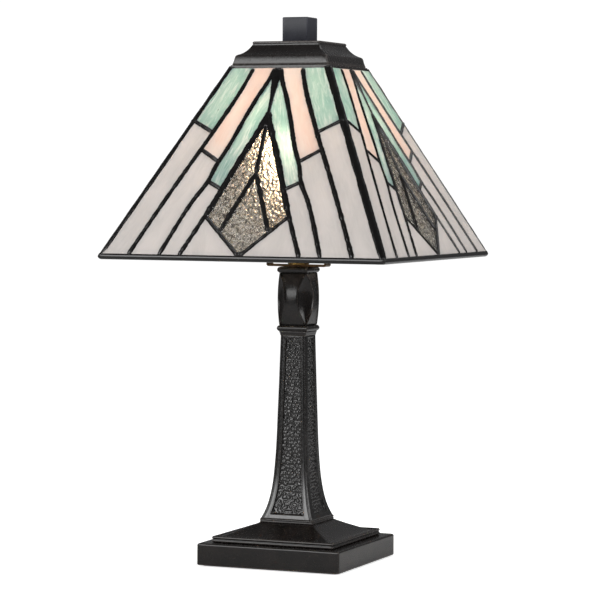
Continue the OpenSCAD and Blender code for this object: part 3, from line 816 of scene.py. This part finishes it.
def plinth():
    """The tier: two beads and a narrow raised border, with a low pyramid hollowed a little."""
    half, low, high = extent("stepped_plinth")
    top = low + 6.5 * MM
    r, foot = 6.5 * MM / 4, extent("foot_ring")[0]
    border = half - 7.5 * MM
    rise = high - top + 1.0 * MM
    slope = [(border + (foot - border) * k / 12, top - 1.0 * MM + rise * (k / 12) ** 1.15)
             for k in range(13)]
    outline = (two_beads(half, low, top, r) + off(half, top, (-2.6, 0), (-3.4, -1))
               + off(border, top, (2, -1)) + slope + off(0, high, (14, 0)))
    cast_square("plinth_casting", outline, "stepped_plinth", 1.0 * MM, along=44)


def foot_beads():
    """The double bead round the column's foot."""
    half, low, high = extent("foot_ring")
    outline = [(12 * MM, low)] + two_beads(half, low, high, (high - low) / 4) + [(12 * MM, high)]
    cast_square("foot_beads", outline, "foot_ring", 0.9 * MM, along=16)


def felt_sheet():
    """The felt under the base, its edge a little frayed and its face slightly uneven."""
    build = Build()
    half, fray = extent("felt_pad")[0] - 0.4 * MM, uneven(0.3 * MM, 1.6 * MM)
    build.loft([rounded_square(h, z, min(2 * MM, h / 3), along=60, push=fray)
                for h, z in [(1 * MM, 0), (half * 0.5, 0), *off(half, 0, (-0.6, 0), (0, 0.6), (0, 1.4),
                                                                (-0.5, 1.9)), (1 * MM, 1.9 * MM)]])
    build.piece("felt_sheet", "stand", "felt", "felt_pad")


base()
plinth()
foot_beads()
felt_sheet()


# ---- column
COLUMN_FOOT, COLUMN_HEAD = extent("column")[1:]
FLARE_W = 20.5 * MM
FLARE_FADE = 22 * MM
TAPER = 0.05
COLUMN_TOP_W = 27.5 * MM
PANEL_SINK = 2.0 * MM
PANEL_EDGE = 0.5 * MM


def column_half(z):
    """Half the column's width at a height: a slight taper and a flare at the foot."""
    up, down = z - COLUMN_FOOT, COLUMN_HEAD - z
    return (COLUMN_TOP_W + TAPER * down + FLARE_W * exp(-up / FLARE_FADE)) / 2


def panel_half(z):
    """Half the width of the sunk panel at a height."""
    up = z - COLUMN_FOOT
    return column_half(z) - 6 * MM - 2.4 * MM * exp(-up / (30 * MM))


def graded(marks):
    """Values between marks [(value, steps), ...], with a number of steps up to each mark."""
    values = [marks[0][0]]
    for (a, _), (b, steps) in zip(marks, marks[1:]):
        values += [a + (b - a) * (k + 1) / steps for k in range(steps)]
    return values


def ease(x):
    """From 0 to 1 with soft ends."""
    x = min(max(x, 0.0), 1.0)
    return x * x * (3 - 2 * x)


def pebbles(u, z, side):
    """Height of a surface packed with round-topped bumps, like pebbles side by side."""
    size, depth, nearest = 4.0 * MM, 0.9 * MM, 9.0
    row = floor(z / size * 1.15)
    for j in (row - 1, row, row + 1):
        column_at = floor(u / size - 0.5 * (j % 2))
        for i in (column_at - 1, column_at, column_at + 1):
            jog = noise.noise_vector(Vector((i * 1.37 + 0.5, j * 2.11 + 0.3, side + 0.7))) * 0.6
            x, y = i + 0.5 + 0.5 * (j % 2) + jog.x, (j + 0.5) / 1.15 + jog.y
            nearest = min(nearest, hypot(u / size - x, z / size - y))
    return depth * max(1 - (nearest / 0.56) ** 2, 0.0)


def column_point(s, half, panel, z, foot, head, side):
    """A point across one side, s from -1 to 1: border, panel edge and sunk hammered panel."""
    sign = 1 if s > 0 else -1
    if abs(s) <= 0.44:
        u = s / 0.44 * (panel - PANEL_EDGE)
    elif abs(s) <= 0.5:
        u = (panel - PANEL_EDGE + (abs(s) - 0.44) / 0.06 * PANEL_EDGE) * sign
    else:
        u = (panel + (abs(s) - 0.5) / 0.5 * (half - panel)) * sign
    inside = ease((panel - abs(u)) / PANEL_EDGE)
    inside *= ease((z - foot) / PANEL_EDGE) * ease((head - z) / PANEL_EDGE)
    sink = inside * PANEL_SINK
    sink -= inside * pebbles(u, z, side)
    to_edge = half - abs(u)
    sink += 0.6 * MM * exp(-((to_edge - 2.1 * MM) / (0.4 * MM)) ** 2)
    sink -= 0.25 * MM * exp(-((abs(u) - panel - 0.5 * MM) / (0.35 * MM)) ** 2) * (1 - inside)
    rounding = max(0.0, 0.6 * MM - to_edge) ** 2 / (1.2 * MM)
    return Vector((u - rounding * sign, -half + sink + rounding, z))


def column():
    """A square column with a sunk hammered panel in each side and a bead down each corner."""
    build = Build()
    low, high = COLUMN_FOOT, COLUMN_HEAD
    foot, head = low + 5 * MM, high - 2.5 * MM
    heights = graded([(low, 0), (foot, 4), (foot + PANEL_EDGE, 3), (head - PANEL_EDGE, 400),
                      (head, 3), (high, 3)])
    across = graded([(-1.0, 0), (-0.96, 3), (-0.72, 6), (-0.5, 5), (-0.44, 3), (0.44, 42), (0.5, 3),
                     (0.72, 5), (0.96, 6), (1.0, 3)])[:-1]
    rings = []
    for z in heights:
        half, panel = column_half(z), panel_half(z)
        ring = [spin @ column_point(s, half, panel, z, foot, head, side)
                for side, spin in enumerate(QUARTERS) for s in across]
        rings.append([cast(p, depth=0.08 * MM) for p in ring])
    build.loft(rings)
    build.piece("hammered_column", "stand", "bronze_casting", "column", material=hammered_bronze)


column()


# ---- neck
NECK_END_W = 29.5 * MM


def lower_collar():
    """A small cyma that carries a bead."""
    half, low, high = extent("lower_neck_collar")
    cyma = low + 4 * MM
    r = (high - cyma) / 2
    outline = (off(0, low, (11, 0)) + off(COLUMN_TOP_W / 2, low, (0.4, 0), (0.5, 1.2))
               + off(half, cyma, (-2.2, -0.8), (-1.8, 0))
               + arc(half - r, cyma + r, r, -78, 78, 12) + off(0, high, (11, 0)))
    cast_square("lower_bead", outline, "lower_neck_collar", 0.9 * MM, along=12)


def upper_collar():
    """A single bead over the neck."""
    half, low, high = extent("upper_neck_collar")
    r = (high - low) / 2
    outline = (off(0, low, (11, 0)) + arc(half - r, low + r, r, -78, 78, 12)
               + off(half, high, (-2.6, 0)) + off(0, high, (11, 0)))
    cast_square("upper_bead", outline, "upper_neck_collar", 0.9 * MM, along=12)


def baluster():
    """A block that swells in the middle, with a hollow lens-shaped facet down each corner."""
    build = Build()
    mid, low, high = extent("neck_baluster")
    span, sag = high - low, mid - NECK_END_W / 2
    radius = (span * span / 4 + sag * sag) / (2 * sag)
    rim, rim_w = 0.95 * MM, 0.75 * MM
    flat_steps = graded([(-1.0, 0), (-0.9, 6), (-0.75, 4), (0.75, 12), (0.9, 4), (1.0, 6)])
    facet_steps = graded([(0.0, 0), (0.12, 6), (0.3, 4), (0.7, 8), (0.88, 4), (1.0, 6)])[1:-1]
    rings = []
    for k in range(91):
        z = low + span * k / 90
        half = mid - radius + sqrt(max(radius ** 2 - (z - (low + high) / 2) ** 2, 0))
        leg = max(1.22 * (2 * half - NECK_END_W), 0.12 * MM)
        flat = half - leg
        hollow = min(leg * 0.17, 2.0 * MM)
        ring = []
        for spin in QUARTERS:
            for s in flat_steps:
                raised = rim * exp(-(flat * (1 - abs(s)) / rim_w) ** 2)
                sunk = 0.35 * MM * ease((1 - abs(s)) * flat / (4 * MM))
                ring.append(spin @ Vector((flat * s, -half + 0.85 * MM + sunk - raised, z)))
            for t in facet_steps:
                edge = min(t, 1 - t) * leg * sqrt(2)
                depth = sin(pi * t) * hollow + 0.85 * MM - rim * exp(-(edge / rim_w) ** 2)
                inward = Vector((-1, 1, 0)).normalized()
                ring.append(spin @ (Vector((flat + leg * t, -half + leg * t, z)) + inward * depth))
        rings.append([cast(p, depth=0.08 * MM) for p in ring])
    build.loft(rings)
    build.piece("faceted_neck", "stand", "bronze_casting", "neck_baluster")


lower_collar()
upper_collar()
baluster()


# ---- lamp holder, switch and bulb
def holder():
    """Turned brass cap and shell of the lamp holder, with rolled beads where they join."""
    build = Build()
    r, low, high = extent("socket_cap")
    outline = (off(0, low, (5.2, 0), (8.6, 0), (9, 0.4), (9, 2.6))
               + arc(9.6 * MM, low + 11.2 * MM, 8.5 * MM, -90, -8, 10)
               + off(r, low, (-0.3, 10.5), (0, 11.3)) + off(r, high, (0, -0.6), (-0.6, 0), (-1.2, 0))
               + off(r, low, (-1.2, 11)) + off(0, low, (8, 5), (5.2, 5)))
    build.lathe(outline, 56, closed=True)
    build.piece("holder_cap", "stand", "brass", "socket_cap")
    build = Build()
    r, low, high = extent("socket_shell")
    r, inner = r - 1 * MM, r - 1.8 * MM
    outline = [(inner, low), (r, low), (r, low + 3 * MM)]
    for bead in (low + 4 * MM, low + 32 * MM):
        outline += arc(r - 0.5 * MM, bead, 1.3 * MM, -60, 60, 6)
    outline += [(r, high - 4 * MM), (r, high - 2 * MM)]
    outline += arc(r, high - 1 * MM, 0.95 * MM, -80, 110, 6) + [(inner, high)]
    build.lathe(outline, 56, closed=True)
    build.piece("holder_shell", "stand", "brass", "socket_shell")


def switch_key():
    """Turn knob with fluted sides and a domed face."""
    build = Build()
    low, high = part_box("switch_knob")
    near, far, centre = -high[1], -low[1], (low[2] + high[2]) / 2
    outline = (off(0, near, (2.3, 0), (4.6, 0), (5.5, 0.5), (5.7, 0.9))
               + off(0, far, (5.75, -2.2), (5.5, -1.6))
               + arc(1.9 * MM, far - 3.6 * MM, 3.55 * MM, 25, 90, 6) + off(0, far, (0.2, 0)))
    steps = 72
    rings = []
    for i in range(steps, 0, -1):
        a = 2 * pi * i / steps
        flute = 0.35 * MM * (0.5 + 0.5 * cos(12 * a))
        fluted = [(r - (flute if r > 5.6 * MM else 0), y) for r, y in outline]
        rings.append([Vector((r * cos(a), -y, centre + r * sin(a))) for r, y in fluted])
    build.loft(rings, loop=True)
    build.piece("fluted_knob", "switch", "black_plastic", "switch_knob")


def lamp_bulb():
    """Frosted bulb: a neck that swells into a ball, and a screw cap with a rolled thread."""
    build = Build()
    ball, low, high = extent("bulb_glass")
    neck, ball, high = 13.4 * MM, ball - 0.1 * MM, high - 0.1 * MM
    mid = high - ball
    outline = [(neck - 0.8 * MM, low)]
    outline += [(neck + (ball - neck) * (1 - cos(pi * k / 24)) / 2, low + (mid - low) * k / 24)
                for k in range(25)]
    outline += [(max(ball * cos(pi / 2 * k / 20), 0.1 * MM), mid + ball * sin(pi / 2 * k / 20))
                for k in range(1, 21)]
    build.lathe(outline, 64)
    build.piece("frosted_globe", "bulb", "bulb_glass", "bulb_glass")
    build = Build()
    r, low, high = extent("bulb_screw_cap")
    steps, pitch = 48, 3.6 * MM
    rings = []
    for i in range(steps, 0, -1):
        a = 2 * pi * i / steps
        ring = [Vector((6 * MM * cos(a), 6 * MM * sin(a), low)),
                Vector((11 * MM * cos(a), 11 * MM * sin(a), low + 2 * MM))]
        for k in range(41):
            z = low + 4.5 * MM + (high - low - 5 * MM) * k / 40
            fade = min(k / 4, (40 - k) / 6, 1.0)
            s = r - 0.6 * MM * (1 - fade) - 0.55 * MM * fade * (0.5 - 0.5 * cos(2 * pi * z / pitch - a))
            ring.append(Vector((s * cos(a), s * sin(a), z)))
        ring.append(Vector((11.5 * MM * cos(a), 11.5 * MM * sin(a), high)))
        rings.append(ring)
    build.loft(rings, loop=True)
    build.piece("rolled_thread", "bulb", "steel", "bulb_screw_cap")


holder()
switch_key()
lamp_bulb()


# ---- harp
WIRE_R = 2.25 * MM
HARP_LEG_X = extent("harp_saddle")[0] - 1.1 * MM
HARP_FLARE_R = 40 * MM
HARP_FLARE_A = 20
HARP_SHOULDER_R = 32 * MM


def harp_path():
    """The right half of the harp's wire, from the foot of its leg to the middle of its top."""
    wide, foot, top = extent("harp_loop")
    wide -= WIRE_R
    flare = foot + 34 * MM
    run = wide - HARP_LEG_X - 2 * HARP_FLARE_R * (1 - cos(radians(HARP_FLARE_A)))
    head = flare + 2 * HARP_FLARE_R * sin(radians(HARP_FLARE_A)) + run / tan(radians(HARP_FLARE_A))
    path = [(HARP_LEG_X, foot), (HARP_LEG_X, foot + 17 * MM)]
    path += arc(HARP_LEG_X + HARP_FLARE_R, flare, HARP_FLARE_R, 180, 180 - HARP_FLARE_A, 6)
    path += arc(wide - HARP_FLARE_R, head, HARP_FLARE_R, -HARP_FLARE_A, 0, 6)
    path += arc(wide - HARP_SHOULDER_R, top - WIRE_R - HARP_SHOULDER_R, HARP_SHOULDER_R, 0, 90, 14)
    return [Vector((x, 0, z)) for x, z in path]


def harp():
    """The wire loop, and the flat plate across its top that carries the stud."""
    half = harp_path()
    path = half + [Vector((-p.x, 0, p.z)) for p in reversed(half)]
    build = Build()
    build.tube(path, [WIRE_R] * len(path), [WIRE_R] * len(path), turns=16)
    top = extent("harp_loop")[2]
    build.loft([[Vector(((x + (7 - inset) * cos(a)) * MM, (7 - inset) * sin(a) * MM, top - drop * MM))
                 for x, start in ((8, -90), (-8, 90))
                 for a in (radians(start + 15 * k) for k in range(13))]
                for inset, drop in ((0.4, 3.5), (0.0, 3.1), (0.0, 0.4), (0.4, 0.0))])
    build.piece("wire_harp", "harp", "antique_brass", "harp_loop")


def sleeve(side):
    """The turned ferrule that slides down over the joint of a leg and its post."""
    node = f"harp_sleeve_{side}"
    low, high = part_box(node)
    centre, height = (low[0] + high[0]) / 2, high[2] - low[2]
    outline = [(2.4, 0), (5.1, 0), (5.6, 0.5), (5.6, 3.2), (5.3, 3.8), (4.7, 4.2), (4.6, 5.0), (4.3, 9),
               (4.2, 13.6), (3.8, 14.6), (2.4, height / MM)]
    build = Build()
    build.lathe(off(0, low[2], *outline), 32, closed=True,
                place=Matrix.Translation((centre, 0, 0)))
    build.piece(f"ferrule_{side}", f"sleeve_{side}", "antique_brass", node)


def saddle():
    """The stamped strip that holds the harp: a flat bar with its ends turned up and rounded over."""
    build = Build()
    x, low, high = extent("harp_saddle")
    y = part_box("harp_saddle")[1][1]
    t, r = 2.2 * MM, 2.4 * MM
    outer = [(-x, high), (-x, low + r)] + arc(-x + r, low + r, r, 180, 270, 5)[1:]
    outer += [(-px, pz) for px, pz in reversed(outer)]
    inner = []
    for px, pz in outer:
        towards = -1 if px > 0 else 1
        inner.append((px + towards * t if abs(px) > x - 2.5 * MM else px, max(pz, low + t)))
    rings = []
    for (ox, oz), (ix, iz) in zip(outer, inner):
        narrow = y - (1.6 * MM if oz > high - 0.5 * MM else 0.0)
        rings.append([Vector((ox, -narrow, oz)), Vector((ox, narrow, oz)),
                      Vector((ix, narrow, iz)), Vector((ix, -narrow, iz))])
    build.loft(rings)
    strip = build.piece("stamped_saddle", "stand", "antique_brass", "harp_saddle", smooth=False)
    edges = strip.modifiers.new("edges", "BEVEL")
    edges.width = 0.35 * MM
    edges.segments = 2
    edges.limit_method = "ANGLE"
    edges.angle_limit = radians(35)
    edges.harden_normals = True


harp()
sleeve("left")
sleeve("right")
saddle()


# ---- light, floor and backdrop
FLOOR_REACH = 1.5
FLOOR_GLOW = 0.62  # the floor's extra white, to the camera only
SKY = (0.97, 0.985, 1.0, 1)
SKY_LIGHT = 0.17
BACKDROP = 1.05  # the surround as the camera sees it
LIGHTS = (  # name, place, height that it aims at, size, watts
    ("key", (-1.12, -2.45, 1.3), 0.3, (1.4, 2.0), 66),
    ("fill", (2.55, 0.3, 1.6), 0.35, (1.8, 1.8), 60),
    ("back", (1.0, 2.2, 2.8), 0.3, (1.4, 1.0), 12),
    ("top", (0.0, 0.0, 2.6), 0.2, (0.7, 0.7), 10),
)


def area_light(name, place, aim, size, power):
    """A soft box that points at the lamp's axis."""
    data = bpy.data.lights.new(name, "AREA")
    data.shape = "RECTANGLE"
    data.size, data.size_y = size
    data.energy = power
    light = bpy.data.objects.new(name, data)
    light.location = place
    light.rotation_euler = (Vector((0, 0, aim)) - Vector(place)).to_track_quat("-Z", "Y").to_euler()
    bpy.context.scene.collection.objects.link(light)


def studio():
    """A round white floor in a white surround, both of which give little light, and soft boxes."""
    bpy.context.scene.view_settings.view_transform = "Standard"
    m = Nodes("studio_white")
    tone = m.noise(m.object_coords(), 3.0)
    glow = m.math("MULTIPLY", m.camera_ray(), FLOOR_GLOW)
    shader = m.principled(Base_Color=m.ramp(tone, [(0.0, 0.88), (1.0, 0.90)]), Roughness=0.9,
                          Specular_IOR_Level=0.1, Emission_Color=(1, 1, 1, 1), Emission_Strength=glow)
    mesh = bpy.data.meshes.new("floor")
    turns = [2 * pi * k / 96 for k in range(96)]
    mesh.from_pydata([(FLOOR_REACH * cos(a), FLOOR_REACH * sin(a), 0) for a in turns], [],
                     [tuple(range(96))])
    mesh.materials.append(m.finish(shader.outputs[0]))
    ground = bpy.data.objects.new("floor", mesh)
    ground.location.z = -0.3 * MM
    bpy.context.scene.collection.objects.link(ground)
    world = bpy.data.worlds.new("studio")
    world.use_nodes = True
    tree = world.node_tree
    mix = tree.nodes.new("ShaderNodeMixShader")
    for slot, colour, strength in ((1, SKY, SKY_LIGHT), (2, (1, 1, 1, 1), BACKDROP)):
        shade = tree.nodes.new("ShaderNodeBackground")
        shade.inputs[0].default_value = colour
        shade.inputs[1].default_value = strength
        tree.links.new(shade.outputs[0], mix.inputs[slot])
    tree.links.new(tree.nodes.new("ShaderNodeLightPath").outputs["Is Camera Ray"], mix.inputs[0])
    tree.links.new(mix.outputs[0], tree.nodes["World Output"].inputs[0])
    bpy.context.scene.world = world
    for light in LIGHTS:
        area_light(*light)


studio()
